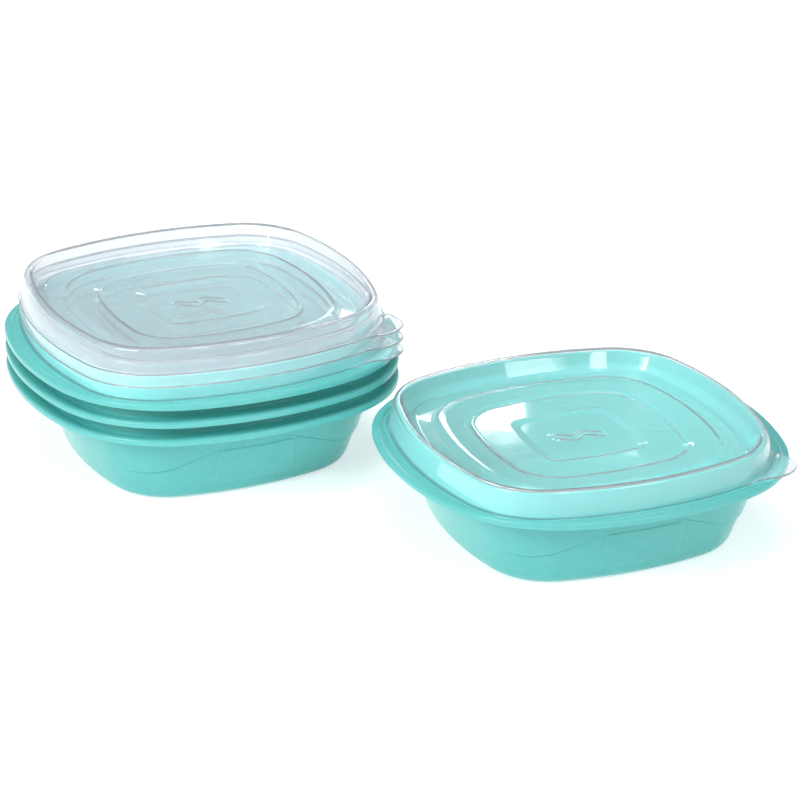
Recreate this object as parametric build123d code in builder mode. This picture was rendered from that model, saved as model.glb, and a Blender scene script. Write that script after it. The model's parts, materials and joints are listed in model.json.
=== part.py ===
"""Four rounded-square food containers: three bowls nested under three nested lids, and one closed pair."""
import os
from math import atan2, cos, degrees, pi, radians, sin, sqrt

from build123d import *

# ---- plan outlines (mm): half width at mid side, corner radius, radius of the bowed side ----
BASE = (59.7, 29.0, 158.0)
WALL_TOP = (72.2, 33.4, 160.0)
CREST = (75.0, 36.0, 162.0)
LIP = (86.3, 60.0, 150.0)
PANEL_EDGE = (56.3, 29.0, 150.0)
PANEL_STEP = (42.5, 21.0, 140.0)
CENTRE_SQUARE = (25.5, 7.5, 120.0)

# ---- bowl (mm) ----
BOWL_WALL = 1.1
FLANGE_Z = 37.6
FLANGE_THICK = 1.0
UPSTAND_TOP = 48.6
UPSTAND_FOOT = 1.1
UPSTAND_OUTER = -1.05
UPSTAND_INNER = -2.5
UPSTAND_LEDGE = -4.25
LEDGE_TOP = 42.9
BOWL_PITCH = 8.4
BOTTOM_RADIUS = 6.0
FOOT_WIDTH = 4.5
FOOT_RECESS = 0.9
GUTTER_WIDTH = 4.4
LIP_BOTTOM = 36.8
LIP_TOP = 39.7
LIP_WIDTH = 3.2
LIP_THICK = 1.2

# ---- groove under the flange that takes the upstand of the bowl below (mm) ----
GROOVE_BOTTOM = 34.5
GROOVE_FOOT = -0.2
GROOVE_ROOF = -0.75

# ---- wave and label panel on the bowl wall (mm) ----
WAVE_PROUD = 0.8
WAVE_TROUGH = 15.6
WAVE_CREST = 30.2
WAVE_HALF_LENGTH = 50.5
WAVE_DIP = 0.7
WAVE_POINTS = 9
LABEL_WIDTH = 37.0
LABEL_BOTTOM = 7.5
LABEL_TOP = 25.0
LABEL_CORNER = 2.5
LABEL_PROUD = 0.45

# ---- lid (mm) ----
LID_THICK = 0.8
LID_PITCH = 6.0
LID_TOP = 50.0
SKIRT_FLARE = 2.3
SKIRT_LIP = 1.0
CREST_WIDTH = 3.6
CREST_FLAT = 0.6
PAN_BOTTOM = 41.4
PAN_DRAFT = 5.4
PANEL_RISE = 1.8
PANEL_BLEND = 7.5
PANEL_LAND = 1.0
STEP_DROP = 1.7
CENTRE_RECESS = 0.8
CENTRE_SLOPE = 3.6
TAB_REACH = 98.2
TAB_TIP_RADIUS = 14.0
TAB_TIP_TURN = 62.0
TAB_ROOT_TURN = 34.0
TAB_SWEEP = 100.0
TAB_OVERLAP = 0.5
TAB_CLIMB = 2.6
TAB_CLEARANCE = 0.35
TAB_RISE = 0.7

# ---- arrangement on the table (mm, degrees) ----
STACK_CENTRE = (-84.994, 43.137)
STACK_TURN = 24.7
SINGLE_CENTRE = (84.206, -43.663)
SINGLE_TURN = 22.2

SEAT_Z = FLANGE_Z + FLANGE_THICK
GROOVE_TOP = UPSTAND_TOP - BOWL_PITCH
EPS = 0.01
MARGIN = 1.0


def grow(outline, amount):
    """The same outline moved outward by amount, arc centres unchanged."""
    half, corner, side = outline
    return (half + amount, corner + amount, side + amount)


def corner_centre(outline):
    """Distance of a corner arc's centre from each of the two middle planes."""
    half, corner, side = outline
    inset = side - half
    return (sqrt(2 * (side - corner) ** 2 - inset ** 2) - inset) / 2


def corner_reach(outline):
    """Distance from the middle to the tip of a corner, along the diagonal."""
    return corner_centre(outline) * sqrt(2) + outline[1]


def rounded_square(outline):
    """Face bounded by four bowed sides and four tangent corner arcs."""
    half, corner, side = outline
    centre = corner_centre(outline)
    join = degrees(atan2(centre, centre + side - half))
    with BuildSketch() as plan:
        with BuildLine():
            for turn in (0, 90, 180, 270):
                side_x = (half - side) * cos(radians(turn))
                side_y = (half - side) * sin(radians(turn))
                CenterArc((side_x, side_y), side, turn - join, 2 * join)
                diagonal = radians(turn + 45)
                corner_x = centre * sqrt(2) * cos(diagonal)
                corner_y = centre * sqrt(2) * sin(diagonal)
                CenterArc((corner_x, corner_y), corner, turn + join, 90 - 2 * join)
        make_face()
    return plan.sketch


def frustum(low, low_z, high, high_z):
    """Straight-sided body between two outlines."""
    with BuildPart() as body:
        with BuildSketch(Plane.XY.offset(low_z)):
            add(rounded_square(low))
        with BuildSketch(Plane.XY.offset(high_z)):
            add(rounded_square(high))
        loft(ruled=True)
    return body.part


def prism(outline, low_z, high_z):
    """Upright body over one outline."""
    with BuildPart() as body:
        with BuildSketch(Plane.XY.offset(low_z)):
            add(rounded_square(outline))
        extrude(amount=high_z - low_z)
    return body.part


def edges_at(part, height):
    """Edges of the open part that lie wholly at one height."""
    return part.edges().filter_by_position(Axis.Z, height - EPS, height + EPS)


# ---- bowl: wall and floor ----
def wall_outline(height, extra):
    """The wall's outside outline at one height, moved outward by extra."""
    share = height / FLANGE_Z
    return tuple(low + (high - low) * share + extra for low, high in zip(BASE, WALL_TOP))


def wall_body(extra, low_z, bottom_radius, high_z=FLANGE_Z):
    """Solid plug with the bowl's outside shape moved out by extra, between two heights."""
    with BuildPart() as body:
        add(frustum(wall_outline(low_z, extra), low_z, wall_outline(high_z, extra), high_z))
        if bottom_radius:
            fillet(edges_at(body, low_z), bottom_radius)
    return body.part


def wave_band():
    """Raised upper part of the wall: its lower edge waves, high at mid side and low at the corners."""
    start = WAVE_TROUGH - WAVE_DIP
    swing = (WAVE_CREST - start) / 2
    wave = []
    for step in range(-WAVE_POINTS, WAVE_POINTS + 1):
        along = WAVE_HALF_LENGTH * step / WAVE_POINTS
        wave.append((along, start + swing * (1 + cos(pi * step / WAVE_POINTS))))
    below = start - WAVE_DIP
    with BuildPart() as hump:
        with BuildSketch(Plane.YZ.offset(BASE[0] / 2)):
            with BuildLine():
                Spline(*wave)
                Polyline(wave[-1], (WAVE_HALF_LENGTH, below), (-WAVE_HALF_LENGTH, below), wave[0])
            make_face()
        extrude(amount=WALL_TOP[0])
    with BuildPart() as band:
        add(wall_body(WAVE_PROUD, WAVE_TROUGH, 0, GROOVE_BOTTOM))
        add(wall_body(-BOWL_WALL / 2, WAVE_TROUGH, 0, GROOVE_BOTTOM), mode=Mode.SUBTRACT)
        for turn in (0, 90, 180, 270):
            add(hump.part.rotate(Axis.Z, turn), mode=Mode.SUBTRACT)
    return band.part


def label_panel():
    """Low blank plate on the front wall, its face parallel to the wall."""
    with BuildPart() as panel:
        add(wall_body(LABEL_PROUD, LABEL_BOTTOM - MARGIN, 0))
        with BuildSketch(Plane.XZ.offset(BASE[0] / 2)) as window:
            with Locations((0, (LABEL_BOTTOM + LABEL_TOP) / 2)):
                RectangleRounded(LABEL_WIDTH, LABEL_TOP - LABEL_BOTTOM, LABEL_CORNER)
        extrude(window.sketch, amount=BASE[0], mode=Mode.INTERSECT)
    return panel.part


# ---- bowl: flange, outer lip, upstand and the groove that nests over it ----
def flange_body(drop, outer):
    """Solid under the flange's top face: flat seat, gutter rising outward, rounded outer lip."""
    lip = grow(LIP, -outer)
    crown = grow(LIP, -LIP_WIDTH)
    top = LIP_TOP - drop
    with BuildPart() as body:
        add(prism(lip, LIP_BOTTOM - drop, top))
        fillet(edges_at(body, top), (LIP_WIDTH - outer) / 2)
        add(frustum(grow(CREST, GUTTER_WIDTH), SEAT_Z - drop, crown, top), mode=Mode.SUBTRACT)
    return body.part


def groove():
    """Ring-shaped space under the flange, between the wall and the foot of the upstand."""
    foot = grow(CREST, GROOVE_FOOT)
    with BuildPart() as ring:
        add(frustum(foot, FLANGE_Z, grow(CREST, GROOVE_ROOF), GROOVE_TOP))
        add(prism(WALL_TOP, FLANGE_Z, GROOVE_TOP), mode=Mode.SUBTRACT)
    return ring.part


def bowl_inside():
    """The space inside the bowl: straight walls, then a ledge that widens to the upstand."""
    shoulder = wall_outline(GROOVE_BOTTOM, -BOWL_WALL)
    ledge = grow(CREST, UPSTAND_LEDGE)
    mouth = grow(CREST, UPSTAND_INNER)
    with BuildPart() as space:
        add(wall_body(-BOWL_WALL, BOWL_WALL, BOTTOM_RADIUS - BOWL_WALL, GROOVE_BOTTOM))
        add(frustum(shoulder, GROOVE_BOTTOM, ledge, SEAT_Z))
        add(frustum(ledge, SEAT_Z, mouth, LEDGE_TOP))
        add(prism(mouth, LEDGE_TOP, UPSTAND_TOP + MARGIN))
    return space.part


def make_bowl():
    """One bowl, open upward, standing on its foot at the origin."""
    foot = grow(BASE, -BOTTOM_RADIUS - FOOT_WIDTH)
    recess = frustum(grow(foot, FOOT_RECESS), -EPS, foot, FOOT_RECESS)
    raised = grow(foot, BOWL_WALL)
    with BuildPart() as bowl:
        add(flange_body(0, 0))
        add(flange_body(FLANGE_THICK, LIP_THICK), mode=Mode.SUBTRACT)
        add(frustum(grow(CREST, UPSTAND_FOOT), SEAT_Z, grow(CREST, UPSTAND_OUTER), UPSTAND_TOP))
        add(wall_body(0, 0, BOTTOM_RADIUS))
        add(prism(grow(CREST, GROOVE_FOOT), FLANGE_Z, SEAT_Z))
        add(wave_band())
        add(label_panel())
        add(groove(), mode=Mode.SUBTRACT)
        add(bowl_inside(), mode=Mode.SUBTRACT)
        add(recess, mode=Mode.SUBTRACT)
        add(frustum(raised, 0, grow(raised, -FOOT_RECESS), FOOT_RECESS + BOWL_WALL))
        add(recess, mode=Mode.SUBTRACT)
    return bowl.part


# ---- lid ----
def lid_body(drop, inset):
    """Solid under the lid's top face, lowered by drop and with its walls moved in by inset."""
    top = LID_TOP - drop
    pan_top = grow(CREST, -CREST_WIDTH + inset)
    pan_low = grow(pan_top, -PAN_DRAFT)
    floor_z = PAN_BOTTOM - drop
    panel_z = floor_z + PANEL_RISE
    edge_radius = (CREST_WIDTH - CREST_FLAT) / 2 - inset
    with BuildPart() as body:
        add(frustum(grow(CREST, SKIRT_FLARE - inset), SEAT_Z, grow(CREST, -inset), top))
        add(frustum(pan_low, floor_z, pan_top, top), mode=Mode.SUBTRACT)
        fillet(edges_at(body, top), edge_radius)
        add(frustum(grow(PANEL_EDGE, PANEL_BLEND), floor_z, PANEL_EDGE, panel_z))
        land = grow(PANEL_EDGE, -PANEL_LAND)
        add(frustum(PANEL_STEP, panel_z - STEP_DROP, land, panel_z), mode=Mode.SUBTRACT)
        square_low = grow(CENTRE_SQUARE, -CENTRE_SLOPE)
        centre_z = panel_z - STEP_DROP
        add(frustum(square_low, centre_z - CENTRE_RECESS, CENTRE_SQUARE, centre_z), mode=Mode.SUBTRACT)
    return body.part


def pull_tab():
    """Corner tab: climbs over the bowl's lip and ends in a rounded tip."""
    seat = grow(CREST, SKIRT_FLARE)
    centre = corner_centre(seat) * sqrt(2)
    root = corner_reach(seat) - centre
    climb_start = root - TAB_OVERLAP
    climb_end = climb_start + TAB_CLIMB
    tip = TAB_REACH + MARGIN - centre
    over_lip = LIP_TOP + TAB_CLEARANCE
    with BuildPart() as tab:
        with BuildSketch(Plane.XZ) as section:
            with BuildLine():
                Polyline((climb_start, SEAT_Z), (climb_end, over_lip), (tip, over_lip + TAB_RISE),
                         (tip, over_lip + TAB_RISE + LID_THICK),
                         (climb_end - TAB_OVERLAP, over_lip + LID_THICK),
                         (climb_start, SEAT_Z + LID_THICK + TAB_OVERLAP), close=True)
            make_face()
        revolve(section.sketch, axis=Axis.Z, revolution_arc=TAB_SWEEP)
    swung = tab.part.rotate(Axis.Z, -TAB_SWEEP / 2).moved(Location((centre, 0, 0)))
    with BuildPart() as trimmed:
        add(swung)
        with BuildSketch(Plane.XY.offset(SEAT_Z - MARGIN)) as plan:
            with BuildLine():
                low = Vector(centre, 0) + Vector(root, 0).rotate(Axis.Z, -TAB_ROOT_TURN)
                high = Vector(centre, 0) + Vector(root, 0).rotate(Axis.Z, TAB_ROOT_TURN)
                tip_centre = (TAB_REACH - TAB_TIP_RADIUS, 0)
                tip_arc = CenterArc(tip_centre, TAB_TIP_RADIUS, -TAB_TIP_TURN, 2 * TAB_TIP_TURN)
                Line(low, tip_arc @ 0)
                Line(tip_arc @ 1, high)
                Polyline(high, (centre, 0), low)
            make_face()
        extrude(plan.sketch, amount=LID_TOP - SEAT_Z, mode=Mode.INTERSECT)
    return trimmed.part.rotate(Axis.Z, -45)


def make_lid():
    """One lid in its closed place above a bowl that stands at the origin."""
    with BuildPart() as lid:
        add(lid_body(0, 0))
        add(prism(grow(CREST, SKIRT_FLARE + SKIRT_LIP), SEAT_Z, SEAT_Z + LID_THICK))
        add(pull_tab())
        add(lid_body(LID_THICK, LID_THICK), mode=Mode.SUBTRACT)
    return lid.part


def place(shape, name, centre, turn, height):
    """Turn and move a finished piece to its place, name it and write its file."""
    piece = shape.rotate(Axis.Z, turn).moved(Location((centre[0], centre[1], height)))
    piece.label = name
    export_step(piece, f"parts/{name}.step")


os.makedirs("parts", exist_ok=True)
bowl_shape = make_bowl()
lid_shape = make_lid()
for level, name in enumerate(("bottom", "middle", "top")):
    place(bowl_shape, f"stack_bowl_{name}", STACK_CENTRE, STACK_TURN, level * BOWL_PITCH)
    lid_height = 2 * BOWL_PITCH + level * LID_PITCH
    place(lid_shape, f"stack_lid_{name}", STACK_CENTRE, STACK_TURN, lid_height)
place(bowl_shape, "single_bowl", SINGLE_CENTRE, SINGLE_TURN, 0)
place(lid_shape, "single_lid", SINGLE_CENTRE, SINGLE_TURN, 0)
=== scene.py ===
"""Four clear-lidded food containers: three nested bowls under three nested lids, and one closed pair."""
import json
from math import cos, pi, radians, sin, tan

import bpy
import numpy as np
from mathutils import Matrix, Vector


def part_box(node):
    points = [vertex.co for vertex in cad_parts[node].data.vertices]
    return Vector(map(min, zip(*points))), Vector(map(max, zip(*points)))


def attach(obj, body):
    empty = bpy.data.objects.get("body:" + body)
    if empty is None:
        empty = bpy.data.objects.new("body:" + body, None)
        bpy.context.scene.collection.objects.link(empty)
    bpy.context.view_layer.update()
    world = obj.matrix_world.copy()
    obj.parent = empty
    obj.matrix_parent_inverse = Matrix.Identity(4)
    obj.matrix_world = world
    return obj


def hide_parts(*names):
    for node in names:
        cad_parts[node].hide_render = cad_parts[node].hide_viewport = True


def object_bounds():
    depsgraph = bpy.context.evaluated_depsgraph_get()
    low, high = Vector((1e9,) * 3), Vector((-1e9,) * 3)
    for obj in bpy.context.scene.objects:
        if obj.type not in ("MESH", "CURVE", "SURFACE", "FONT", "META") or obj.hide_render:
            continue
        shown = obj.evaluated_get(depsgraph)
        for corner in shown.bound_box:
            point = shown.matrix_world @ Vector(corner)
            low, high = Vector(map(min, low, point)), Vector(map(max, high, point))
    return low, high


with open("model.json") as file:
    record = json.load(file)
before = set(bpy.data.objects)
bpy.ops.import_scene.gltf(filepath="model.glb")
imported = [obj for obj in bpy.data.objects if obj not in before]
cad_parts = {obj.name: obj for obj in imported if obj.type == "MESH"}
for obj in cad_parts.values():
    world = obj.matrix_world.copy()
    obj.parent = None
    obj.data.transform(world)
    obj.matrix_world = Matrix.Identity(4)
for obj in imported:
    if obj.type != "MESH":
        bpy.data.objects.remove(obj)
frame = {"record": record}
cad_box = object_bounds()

MM = 0.001
STACK_TURN = 24.7
SINGLE_TURN = 22.2
LEVELS = ("bottom", "middle", "top")

# ---- plan outlines (mm): half width at mid side, corner radius, radius of the bowed side ----
BASE = np.array((59.7, 29.0, 158.0))
WALL_TOP = np.array((72.2, 33.4, 160.0))
CREST = np.array((75.0, 36.0, 162.0))
LIP = np.array((86.3, 60.0, 150.0))
PANEL_EDGE = np.array((56.3, 29.0, 150.0))
PANEL_STEP = np.array((42.5, 21.0, 140.0))
CENTRE_SQUARE = np.array((25.5, 7.5, 120.0))

# ---- bowl (mm) ----
FLANGE_Z = 37.6
SEAT_Z = 38.6
UPSTAND_TOP = 48.6
UPSTAND_FOOT = 1.1
UPSTAND_OUTER = 1.05
UPSTAND_INNER = 2.5
UPSTAND_LEDGE = 4.25
LEDGE_TOP = 42.9
GROOVE_TOP = 40.2
GROOVE_FOOT = 0.2
GROOVE_ROOF = 0.75
GUTTER_WIDTH = 4.4
LIP_TOP = 39.7
LIP_BOTTOM = 36.8
LIP_WIDTH = 3.2
LIP_THICK = 1.2
WALL_START = 5.4
WALL_END = 34.3
BOWL_WALL = 1.1
BOTTOM_RADIUS = 6.0
FOOT_INSET = 10.5
FOOT_RECESS = 0.9
FOOT_ROUND = 0.35
FLOOR_SHARE = 0.9
WAVE_PROUD = 0.8
WAVE_TROUGH = 15.6
WAVE_CREST = 30.2
WAVE_CLEAR = 0.6
LABEL_HALF_WIDTH = 18.5
LABEL_BOTTOM = 7.5
LABEL_TOP = 25.0
LABEL_CORNER = 2.5
LABEL_PROUD = 0.45
LABEL_EDGE = 0.5
LABEL_COLUMNS = (0, 5, 10, 14, 15.6, 16.5, 17.1, 17.5, 17.9, 18.3, 18.7, 19.1, 19.8, 21, 24.5)
LABEL_ROWS = (6.6, 6.9, 7.2, 7.5, 7.8, 8.1, 8.7, 9.6, 11, 13, 15, 17, 19, 21, 22.6, 23.6, 24.2, 24.6,
              24.9, 25.2, 25.5)
# distance from the wave line and share of WAVE_PROUD: a shallow crease under the raised band's edge
WAVE_ROWS = ((-0.7, 0), (-0.5, -0.3), (-0.2, -0.4), (-0.1, 0.5), (0.0, 0.95), (0.25, 1.05), (WAVE_CLEAR, 1))
BAND_SHARES = (0.1, 0.25, 0.4, 0.55, 0.7, 0.85, 0.95)

# ---- lid (mm) ----
LID_THICK = 0.8
LID_TOP = 50.0
LID_EDGE = 0.4
SKIRT_FLARE = 2.3
SKIRT_LIP = 1.0
CENTRE_SLOPE = 3.6
SQUARE_Z = 40.75
STEP_Z = 41.6
TAB_REACH = 98.2
TAB_TIP_RADIUS = 14.0
TAB_TIP_TURN = 62.0
TAB_ROOT_TURN = 34.0
TAB_CLIMB = 1.45
TAB_CLIMB_WIDTH = 2.6
TAB_RISE = 0.7
LIP_SHARES = (0.12, 0.24, 0.36, 0.48, 0.6, 0.72, 0.84, 1.0)
MARK_HALF_LENGTH = 13.0
MARK_SWING = 1.8
MARK_WAVE = 6.5
MARK_HALF_GAP = 2.4
MARK_HEIGHT = 0.3
MARK_RINGS = 40


class Columns:
    """Evenly matched points round a rounded square, so that any two outlines join column to column."""

    def __init__(self, side_steps, corner_steps, fixed=(0,)):
        fixed = np.array(fixed, float)
        steps = len(fixed) - 1 + side_steps + corner_steps
        order = np.arange(-steps + 1, steps + 1)
        self.step = np.tile(np.abs(order), 4)
        self.sign = np.tile(np.where(order < 0, -1.0, 1.0), 4)
        self.side = np.repeat(np.arange(4), 2 * steps)
        self.fixed = fixed
        self.is_fixed = self.step < len(fixed)
        side_share = (self.step - len(fixed) + 1) / side_steps
        self.side_share = np.clip(side_share, 0, 1)
        self.corner_share = np.clip((self.step - len(fixed) + 1 - side_steps) / corner_steps, 0, 1)
        self.on_corner = self.corner_share > 0
        self.fixed_x = fixed[np.minimum(self.step, len(fixed) - 1)]

    def local(self, outline):
        """Points in the frame of each column's own side: outward distance and place along the side."""
        half, corner, side = outline[..., 0], outline[..., 1], outline[..., 2]
        inset = side - half
        centre = (np.sqrt(2 * (side - corner) ** 2 - inset ** 2) - inset) / 2
        join = np.arctan2(centre, centre + inset)
        start = np.arcsin(self.fixed[-1] / side)
        between = start + self.side_share * (join - start)
        angle = np.where(self.is_fixed, np.arcsin(self.fixed_x / side), between)
        corner_angle = join + self.corner_share * (pi / 4 - join)
        out = np.where(self.on_corner, centre + corner * np.cos(corner_angle), side * np.cos(angle) - inset)
        along = np.where(self.on_corner, centre + corner * np.sin(corner_angle), side * np.sin(angle))
        return out, along * self.sign

    def points(self, outline, height):
        """Points in the container's frame for an outline and a height, each plain or one per column."""
        count = len(self.step)
        outline = np.broadcast_to(outline, (count, 3))
        out, along = self.local(outline)
        turn = self.side * pi / 2
        x = out * np.cos(turn) - along * np.sin(turn)
        y = out * np.sin(turn) + along * np.cos(turn)
        return np.column_stack((x, y, np.broadcast_to(height, count)))


def ring_mesh(name, rings):
    """Closed shell through the rings in order, with a flat fan at each end."""
    count = len(rings[0])
    ends = [np.append(ring[:, :2].mean(0), ring[:, 2].mean()) for ring in (rings[0], rings[-1])]
    vertices = np.vstack([*rings, *ends]) * MM
    faces = []
    for ring in range(len(rings) - 1):
        for column in range(count):
            after = (column + 1) % count
            low, high = ring * count, (ring + 1) * count
            faces.append((low + column, low + after, high + after, high + column))
    first, last = len(rings) * count, len(rings) * count + 1
    top = (len(rings) - 1) * count
    for column in range(count):
        after = (column + 1) % count
        faces.append((first, after, column))
        faces.append((last, top + column, top + after))
    mesh = bpy.data.meshes.new(name)
    mesh.from_pydata(vertices.tolist(), [], faces)
    mesh.polygons.foreach_set("use_smooth", [True] * len(faces))
    mesh.update()
    return mesh


def rounded_path(corners, steps=5):
    """Rows of half width, corner radius, side radius and height along a profile, its corners rounded off.
    Each corner is an outline, a height and how far from the corner its rounding starts."""
    rows = [np.append(outline, height) for outline, height, _ in corners]
    cuts = [cut for _, _, cut in corners]
    path = []
    for index, row in enumerate(rows):
        if not cuts[index]:
            path.append(row)
            continue
        ends = []
        for other in (rows[index - 1], rows[index + 1]):
            length = np.hypot(other[0] - row[0], other[3] - row[3])
            ends.append(row + (other - row) * min(cuts[index] / length, 0.5))
        for share in np.linspace(0, 1, steps + 1):
            near = ends[0] * (1 - share) + row * share
            far = row * (1 - share) + ends[1] * share
            path.append(near * (1 - share) + far * share)
    return path


def smooth_step(value):
    """Eases from 0 to 1 as the value goes from 0 to 1."""
    value = np.clip(value, 0, 1)
    return value * value * (3 - 2 * value)


# ---- bowl ----
BOWL_COLUMNS = Columns(5, 12, LABEL_COLUMNS)


def wall_outline(height):
    """Outside outline of the wall at one height, or at one height per column."""
    share = np.asarray(height)[..., None] / FLANGE_Z
    return BASE + (WALL_TOP - BASE) * share


def wave_heights(columns):
    """Height of the wave line at each column: high at mid side and low at the corners."""
    middle = wall_outline((WAVE_TROUGH + WAVE_CREST) / 2)
    _, along = columns.local(np.broadcast_to(middle, (len(columns.step), 3)))
    share = np.abs(along) / np.abs(along).max()
    return WAVE_TROUGH + (WAVE_CREST - WAVE_TROUGH) * (1 + np.cos(pi * share)) / 2


def label_lift(along, height, front):
    """How far the wall stands out at the blank plate, 0 to LABEL_PROUD."""
    middle = (LABEL_BOTTOM + LABEL_TOP) / 2
    inner_x = np.abs(along) - (LABEL_HALF_WIDTH - LABEL_CORNER)
    inner_z = np.abs(height - middle) - ((LABEL_TOP - LABEL_BOTTOM) / 2 - LABEL_CORNER)
    outside = np.hypot(np.maximum(inner_x, 0), np.maximum(inner_z, 0))
    inside = np.minimum(np.maximum(inner_x, inner_z), 0)
    edge = outside + inside - LABEL_CORNER
    return front * LABEL_PROUD * smooth_step(0.5 - edge / LABEL_EDGE)


def wall_rings(columns, inward, with_label):
    """Rings up one face of the wall, from its bottom rounding to just under the flange."""
    wave = wave_heights(columns)
    front = (columns.side == 3).astype(float)
    rings = []
    for height in LABEL_ROWS:
        share = (height - WALL_START) / (LABEL_ROWS[-1] - WALL_START) * 0.96
        flowing = WALL_START + (wave - WAVE_CLEAR - WALL_START) * share
        _, along = columns.local(wall_outline(flowing))
        level = 1 - smooth_step((np.abs(along) - 20.5) / 14)
        z = np.minimum(flowing * (1 - level) + height * level, wave - 0.7)
        lift = label_lift(along, z, front) if with_label else 0
        rings.append((z, lift * np.ones_like(z)))
    for offset, lift in WAVE_ROWS:
        rings.append((wave + offset, np.full_like(wave, lift * WAVE_PROUD)))
    for share in BAND_SHARES:
        height = wave + WAVE_CLEAR + (WALL_END - wave - WAVE_CLEAR) * share
        rings.append((height, np.full_like(wave, WAVE_PROUD)))
    return [columns.points(wall_outline(z) + (lift - inward)[:, None], z) for z, lift in rings]


def bottom_rings(columns, inward):
    """Rings round the wall's bottom rounding, from the floor outward."""
    slope = np.arctan2(WALL_TOP[0] - BASE[0], FLANGE_Z)
    radius = BOTTOM_RADIUS - inward
    reach = BOTTOM_RADIUS * tan((pi / 2 - slope) / 2)
    rings = []
    for angle in np.linspace(-pi / 2, -slope, 8):
        z = BOTTOM_RADIUS + radius * sin(angle)
        half = BASE[0] - reach + radius * cos(angle)
        rings.append(columns.points(BASE + (half - BASE[0]), z))
    return rings


def bowl_mesh():
    """One bowl as a closed shell: foot, outer wall, rim, inner wall and floor."""
    columns = BOWL_COLUMNS
    foot = BASE - FOOT_INSET
    floor_z = FOOT_RECESS + BOWL_WALL
    foot_path = rounded_path([
        (foot * FLOOR_SHARE, FOOT_RECESS, 0),
        (foot, FOOT_RECESS, FOOT_ROUND),
        (foot + FOOT_RECESS, 0, FOOT_ROUND),
        (BASE - BOTTOM_RADIUS, 0, 0)])
    rim_path = rounded_path([
        (wall_outline(WALL_END) + WAVE_PROUD, WALL_END, 0),
        (wall_outline(WALL_END + 0.2), WALL_END + 0.2, 0.1),
        (WALL_TOP, FLANGE_Z, 0.3),
        (WALL_TOP, GROOVE_TOP, 0.25),
        (CREST - GROOVE_ROOF, GROOVE_TOP, 0.25),
        (CREST - GROOVE_FOOT, FLANGE_Z, 0.25),
        (CREST + GUTTER_WIDTH, FLANGE_Z, 0.8),
        (LIP - 3.0, SEAT_Z, 0.6),
        (LIP - LIP_THICK, SEAT_Z, 0.6),
        (LIP - LIP_THICK, LIP_BOTTOM, 0.3),
        (LIP, LIP_BOTTOM, 0.4),
        (LIP, LIP_TOP, 1.7),
        (LIP - LIP_WIDTH, LIP_TOP, 1.3),
        (CREST + GUTTER_WIDTH, SEAT_Z, 1.0),
        (CREST + UPSTAND_FOOT, SEAT_Z, 0.3),
        (CREST - UPSTAND_OUTER, UPSTAND_TOP, 0.5),
        (CREST - UPSTAND_INNER, UPSTAND_TOP, 0.5),
        (CREST - UPSTAND_INNER, LEDGE_TOP, 0.9),
        (CREST - UPSTAND_LEDGE, SEAT_Z, 0.9),
        (wall_outline(WALL_END) - BOWL_WALL + WAVE_PROUD, WALL_END, 0)], 6)
    floor_path = rounded_path([
        (BASE - 7.2, BOWL_WALL, 0),
        (foot + 1.9, BOWL_WALL, FOOT_ROUND),
        (foot + 1.0, floor_z, FOOT_ROUND),
        (foot * FLOOR_SHARE, floor_z, 0)])
    rings = [columns.points(row[:3], row[3]) for row in foot_path]
    rings += bottom_rings(columns, 0)[1:]
    rings += wall_rings(columns, 0, True)
    rings += [columns.points(row[:3], row[3]) for row in rim_path]
    rings += wall_rings(columns, BOWL_WALL, False)[::-1]
    rings += bottom_rings(columns, BOWL_WALL)[::-1][:-1]
    rings += [columns.points(row[:3], row[3]) for row in floor_path]
    return ring_mesh("bowl", rings)


# ---- lid ----
LID_COLUMNS = Columns(10, 22)


def mark_height(points):
    """Raised pair of wavy lines in the middle of the lid, 0 to 1, for points in the container's frame."""
    x, y = points[:, 0], points[:, 1]
    ends = smooth_step((MARK_HALF_LENGTH - np.abs(x)) / 2)
    height = np.zeros_like(x)
    for shift in (-MARK_HALF_GAP, MARK_HALF_GAP):
        middle = shift + MARK_SWING * np.sin(x * pi / MARK_WAVE)
        slope = MARK_SWING * pi / MARK_WAVE * np.cos(x * pi / MARK_WAVE)
        away = np.abs(y - middle) / np.hypot(1, slope)
        height = np.maximum(height, smooth_step(1.25 - away / 0.75))
    return height * ends


def tab_reach(columns):
    """How far the lid's edge stands out beyond the skirt at each column: a plain lip and one corner tab."""
    seat = CREST + SKIRT_FLARE
    half, corner, side = seat
    inset = side - half
    centre = (np.sqrt(2 * (side - corner) ** 2 - inset ** 2) - inset) / 2
    centre_reach = centre * np.sqrt(2)
    tip = TAB_REACH - TAB_TIP_RADIUS - centre_reach
    tip_turn, root_turn = radians(TAB_TIP_TURN), radians(TAB_ROOT_TURN)
    end = TAB_TIP_RADIUS * np.array((cos(tip_turn), sin(tip_turn))) + (tip, 0)
    root = corner * np.array((cos(root_turn), sin(root_turn)))
    points = columns.points(seat, 0)[:, :2] - (centre, -centre)
    turn = np.abs(np.arctan2(points[:, 1], points[:, 0]) + pi / 4)
    edge = end - root
    across = edge[1] * np.cos(turn) - edge[0] * np.sin(turn)
    line = (edge[1] * root[0] - edge[0] * root[1]) / across
    arc = tip * np.cos(turn) + np.sqrt(np.maximum(TAB_TIP_RADIUS ** 2 - (tip * np.sin(turn)) ** 2, 0))
    reach = np.where(turn < np.arctan2(end[1], end[0]), arc, line) - corner
    inside = (turn < root_turn) & (points[:, 0] > 0)
    extra = np.where(inside, reach - SKIRT_LIP, 0)
    return SKIRT_LIP + np.maximum(extra, 0)


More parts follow.
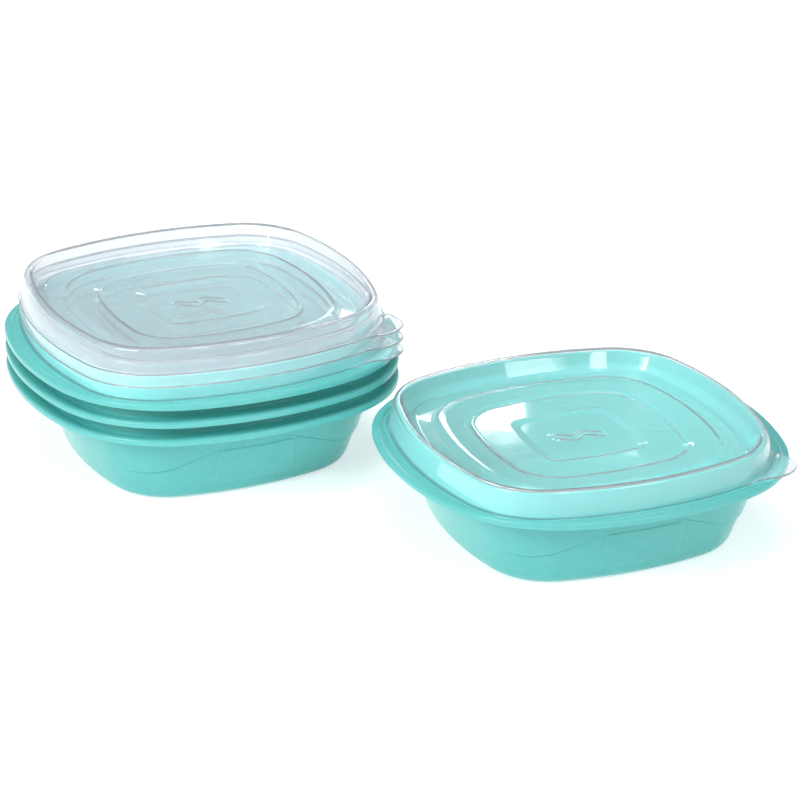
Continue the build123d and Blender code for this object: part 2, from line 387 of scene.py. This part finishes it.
def lip_rings(columns, raise_by):
    """Rings over the seat lip and tab, from the skirt outward, on the face raised above the seat."""
    reach = tab_reach(columns)
    on_tab = smooth_step((reach - SKIRT_LIP) / 2.5)
    rings = []
    for share in LIP_SHARES:
        out = (reach - LID_EDGE) * share
        climb = TAB_CLIMB * smooth_step((out + 0.5) / TAB_CLIMB_WIDTH)
        climb = climb + TAB_RISE * np.clip((out - 2.1) / 10, 0, 1)
        rings.append((out, SEAT_Z + raise_by + on_tab * climb))
    return rings


def lid_mesh():
    """One lid as a closed shell: underside, lip and tab, skirt, stepped top and centre mark."""
    columns = LID_COLUMNS
    square_low = CENTRE_SQUARE - CENTRE_SLOPE
    seat = CREST + SKIRT_FLARE
    top_path = rounded_path([
        (square_low * 0.84, SQUARE_Z, 0),
        (square_low, SQUARE_Z, 0.4),
        (CENTRE_SQUARE - 0.3, STEP_Z, 0.4),
        (CENTRE_SQUARE + 3, STEP_Z, 0),
        (PANEL_STEP - 1.8, STEP_Z, 0.35),
        (PANEL_STEP - 1.3, 42.0, 0.25),
        (PANEL_STEP - 0.2, 42.0, 0.4),
        (PANEL_STEP + 2, 42.5, 1.2),
        (PANEL_EDGE - 2.5, 43.15, 1.5),
        (PANEL_EDGE, 43.2, 1.0),
        (PANEL_EDGE + 2.2, 42.0, 1.0),
        (CREST - 9.4, 41.4, 1.4),
        (CREST - 8.4, 42.2, 0.7),
        (CREST - 4.2, 48.8, 0.9),
        (CREST - 3.3, LID_TOP, 0.9),
        (CREST - 0.1, LID_TOP, 1.7),
        (seat - 0.3, SEAT_Z + LID_THICK, 0.25),
        (seat, SEAT_Z + LID_THICK, 0)], 5)
    under_path = rounded_path([
        (square_low * 0.2, 39.95, 0),
        (square_low - 0.2, 39.95, 0.7),
        (CENTRE_SQUARE - 0.2, 40.8, 0.7),
        (PANEL_STEP - 0.6, 40.8, 0.6),
        (PANEL_STEP + 1.6, 41.6, 1.2),
        (PANEL_EDGE - 2.5, 42.3, 1.5),
        (PANEL_EDGE - 0.6, 42.3, 0.7),
        (PANEL_EDGE + 1.6, 41.2, 1.0),
        (CREST - 8.6, 40.6, 1.6),
        (CREST - 7.6, 41.7, 0.9),
        (CREST - 3.5, 48.2, 0.9),
        (CREST - 2.8, 49.2, 0.6),
        (CREST - 0.9, 49.2, 0.9),
        (seat - LID_THICK, SEAT_Z, 0.25),
        (seat, SEAT_Z, 0)], 5)
    rings = [columns.points(row[:3], row[3]) for row in under_path]
    for out, z in lip_rings(columns, 0):
        rings.append(columns.points(seat + out[:, None], z))
    for angle in np.linspace(-pi / 2, pi / 2, 6)[1:-1]:
        bulge = out + LID_EDGE * cos(angle)
        rings.append(columns.points(seat + bulge[:, None], z + LID_EDGE * (1 + sin(angle))))
    for out, z in lip_rings(columns, LID_THICK)[::-1]:
        rings.append(columns.points(seat + out[:, None], z))
    rings += [columns.points(row[:3], row[3]) for row in top_path[::-1]]
    for share in np.linspace(0.82, 0.06, MARK_RINGS):
        ring = columns.points(square_low * share, SQUARE_Z)
        ring[:, 2] += MARK_HEIGHT * mark_height(ring)
        rings.append(ring)
    return ring_mesh("lid", rings)


# ---- materials ----
PLASTIC_IOR = 1.49
LID_HAZE = 0.10
FLOOR_GLOW = 0.55


def plain_material(name, flat_colour):
    """New node material with its tree and shader; flat_colour is only for the plain viewport."""
    material = bpy.data.materials.new(name)
    material.use_nodes = True
    material.diffuse_color = flat_colour
    tree = material.node_tree
    shader = tree.nodes["Principled BSDF"]
    return material, tree, shader


def noise_bump(tree, shader, scale, strength, distance):
    """Fine uneven surface of a moulding, in the piece's own space."""
    nodes, links = tree.nodes, tree.links
    place = nodes.new("ShaderNodeTexCoord")
    noise = nodes.new("ShaderNodeTexNoise")
    noise.inputs["Scale"].default_value = scale
    noise.inputs["Detail"].default_value = 2.0
    bump = nodes.new("ShaderNodeBump")
    bump.inputs["Strength"].default_value = strength
    bump.inputs["Distance"].default_value = distance
    links.new(place.outputs["Object"], noise.inputs["Vector"])
    links.new(noise.outputs["Fac"], bump.inputs["Height"])
    links.new(bump.outputs["Normal"], shader.inputs["Normal"])
    return noise


def value_ramp(tree, source, low, high, socket):
    """Feeds a socket with a value between low and high, by a source between 0.3 and 0.7."""
    node = tree.nodes.new("ShaderNodeMapRange")
    node.inputs["From Min"].default_value = 0.3
    node.inputs["From Max"].default_value = 0.7
    node.inputs["To Min"].default_value = low
    node.inputs["To Max"].default_value = high
    tree.links.new(source, node.inputs["Value"])
    tree.links.new(node.outputs["Result"], socket)


def colour_ramp(tree, source, low, high, socket):
    """Feeds a socket with a blend of two colours, by a source between 0.3 and 0.7."""
    node = tree.nodes.new("ShaderNodeValToRGB")
    for element, position, colour in zip(node.color_ramp.elements, (0.3, 0.7), (low, high)):
        element.position = position
        element.color = (*colour, 1)
    tree.links.new(source, node.inputs["Fac"])
    tree.links.new(node.outputs["Color"], socket)


def bowl_material():
    """Aqua plastic, slightly uneven and a little translucent."""
    material, tree, shader = plain_material("aqua_polypropylene", (0.33, 0.80, 0.76, 1))
    noise = noise_bump(tree, shader, 260.0, 0.04, 0.0004)
    darker, lighter = (0.150, 0.625, 0.595), (0.165, 0.650, 0.620)
    colour_ramp(tree, noise.outputs["Fac"], darker, lighter, shader.inputs["Base Color"])
    value_ramp(tree, noise.outputs["Fac"], 0.16, 0.22, shader.inputs["Roughness"])
    shader.inputs["IOR"].default_value = PLASTIC_IOR
    shader.inputs["Subsurface Weight"].default_value = 0.25
    shader.inputs["Subsurface Radius"].default_value = (0.5, 1.0, 1.0)
    shader.inputs["Subsurface Scale"].default_value = 0.002
    return material


def lid_material():
    """Clear plastic with a slight milky haze, which lets light through to what it covers."""
    material, tree, shader = plain_material("clear_polypropylene", (0.86, 0.93, 0.96, 0.35))
    noise = noise_bump(tree, shader, 45.0, 0.03, 0.0006)
    shader.inputs["Base Color"].default_value = (0.985, 0.995, 1.0, 1)
    value_ramp(tree, noise.outputs["Fac"], 0.03, 0.06, shader.inputs["Roughness"])
    shader.inputs["IOR"].default_value = PLASTIC_IOR
    shader.inputs["Transmission Weight"].default_value = 1.0
    haze = tree.nodes.new("ShaderNodeBsdfDiffuse")
    haze.inputs["Color"].default_value = (0.80, 0.88, 0.94, 1)
    milky = tree.nodes.new("ShaderNodeMixShader")
    milky.inputs["Fac"].default_value = LID_HAZE
    tree.links.new(shader.outputs["BSDF"], milky.inputs[1])
    tree.links.new(haze.outputs["BSDF"], milky.inputs[2])
    lets_light = tree.nodes.new("ShaderNodeBsdfTransparent")
    lets_light.inputs["Color"].default_value = (0.97, 0.985, 0.99, 1)
    path = tree.nodes.new("ShaderNodeLightPath")
    mix = tree.nodes.new("ShaderNodeMixShader")
    tree.links.new(path.outputs["Is Shadow Ray"], mix.inputs["Fac"])
    tree.links.new(milky.outputs["Shader"], mix.inputs[1])
    tree.links.new(lets_light.outputs["BSDF"], mix.inputs[2])
    tree.links.new(mix.outputs["Shader"], tree.nodes["Material Output"].inputs["Surface"])
    return material


# ---- pieces ----
def add_piece(mesh, name, node, body, material, place):
    """Place one copy of a mesh with its material, tie it to its body and hide the imported node it stands in
    for.
    """
    piece = bpy.data.objects.new(name, mesh.copy())
    bpy.context.scene.collection.objects.link(piece)
    piece.data.materials.append(material)
    piece.data.transform(place)
    weighted = piece.modifiers.new("even_shading", "WEIGHTED_NORMAL")
    weighted.keep_sharp = False
    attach(piece, body)
    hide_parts(node)


def container_place(bowl_node, turn):
    """Matrix that takes the container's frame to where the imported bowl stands."""
    low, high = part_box(bowl_node)
    middle = (low + high) / 2
    return Matrix.Translation((middle.x, middle.y, low.z)) @ Matrix.Rotation(radians(turn), 4, "Z")


def body_of(node):
    """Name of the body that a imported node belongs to."""
    for body, members in frame["record"]["behaviour"]["bodies"].items():
        if node in members:
            return body


bowl_shape = bowl_mesh()
lid_shape = lid_mesh()
aqua = bowl_material()
clear = lid_material()
stack_place = container_place("stack_bowl_bottom", STACK_TURN)
single_place = container_place("single_bowl", SINGLE_TURN)
for kind, shape, material in (("bowl", bowl_shape, aqua), ("lid", lid_shape, clear)):
    rows = [(f"stack_{kind}_{level}", stack_place) for level in LEVELS]
    rows.append((f"single_{kind}", single_place))
    for node, base in rows:
        low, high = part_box(node)
        base_z = low.z if kind == "bowl" else high.z - LID_TOP * MM
        place = base.copy()
        place.translation.z = base_z
        add_piece(shape, node + "_shell", node, body_of(node), material, place)

# ---- stage, light and camera ----
CAMERA_AT = (6.35 * MM, -1389.5 * MM, 625.2 * MM)
CAMERA_PITCH = 22.878
CAMERA_LENS = 151.4
FLOOR_REACH = 8.0
FLOOR_DROP = 0.0002
MIDDLE = (0, 0, 0.03)


def add_area(name, size, power, place, target):
    """Softbox that faces a target."""
    lamp = bpy.data.lights.new(name, "AREA")
    lamp.shape = "RECTANGLE"
    lamp.size, lamp.size_y = size
    lamp.energy = power
    obj = bpy.data.objects.new(name, lamp)
    obj.location = place
    obj.rotation_euler = (Vector(target) - Vector(place)).to_track_quat("-Z", "Y").to_euler()
    bpy.context.scene.collection.objects.link(obj)


def aim(azimuth, elevation, distance):
    """Place at an azimuth from +X and an elevation, in degrees, and a distance from the middle."""
    level = distance * cos(radians(elevation))
    return (level * cos(radians(azimuth)), level * sin(radians(azimuth)), distance * sin(radians(elevation)))


def add_floor():
    """Wide pale floor that glows a little wherever it is seen, but not onto what stands on it."""
    mesh = bpy.data.meshes.new("floor")
    low, high = -FLOOR_REACH, FLOOR_REACH
    mesh.from_pydata([(low, low, 0), (high, low, 0), (high, high, 0), (low, high, 0)], [], [(0, 1, 2, 3)])
    floor = bpy.data.objects.new("floor", mesh)
    bpy.context.scene.collection.objects.link(floor)
    material, tree, shader = plain_material("pale_floor", (1, 1, 1, 1))
    shader.inputs["Base Color"].default_value = (0.93, 0.93, 0.93, 1)
    shader.inputs["Roughness"].default_value = 0.9
    shader.inputs["Specular IOR Level"].default_value = 0.0
    shader.inputs["Emission Color"].default_value = (1, 1, 1, 1)
    path = tree.nodes.new("ShaderNodeLightPath")
    glow = tree.nodes.new("ShaderNodeMapRange")
    glow.inputs["To Min"].default_value = FLOOR_GLOW
    glow.inputs["To Max"].default_value = 0.0
    tree.links.new(path.outputs["Is Diffuse Ray"], glow.inputs["Value"])
    tree.links.new(glow.outputs["Result"], shader.inputs["Emission Strength"])
    mesh.materials.append(material)
    floor.location.z = cad_box[0][2] - FLOOR_DROP


scene = bpy.context.scene
scene.view_settings.view_transform = "Standard"
add_floor()
world = bpy.data.worlds.new("studio")
world.use_nodes = True
world.node_tree.nodes["Background"].inputs["Color"].default_value = (0.92, 0.96, 1.0, 1)
world.node_tree.nodes["Background"].inputs["Strength"].default_value = 0.33
scene.world = world
add_area("left_softbox", (0.8, 0.5), 13.5, aim(-135, 33, 1.7), MIDDLE)
add_area("right_softbox", (0.5, 0.5), 3.5, aim(-45, 32, 1.7), (0.084, -0.044, 0.03))
add_area("strip_light", (0.2, 0.5), 2.2, aim(-66, 40, 1.9), MIDDLE)
add_area("overhead_softbox", (1.0, 0.8), 6.5, (0.0, 0.1, 1.6), MIDDLE)
add_area("single_back_light", (0.20, 0.05), 0.25, (0.02, 1.45, 0.66), (0.04, -0.02, 0.042))

camera_data = bpy.data.cameras.new("camera")
camera_data.lens = CAMERA_LENS
camera_data.sensor_width = 36.0
camera = bpy.data.objects.new("camera", camera_data)
camera.location = CAMERA_AT
camera.rotation_euler = (radians(90 - CAMERA_PITCH), 0, 0)
scene.collection.objects.link(camera)
scene.camera = camera
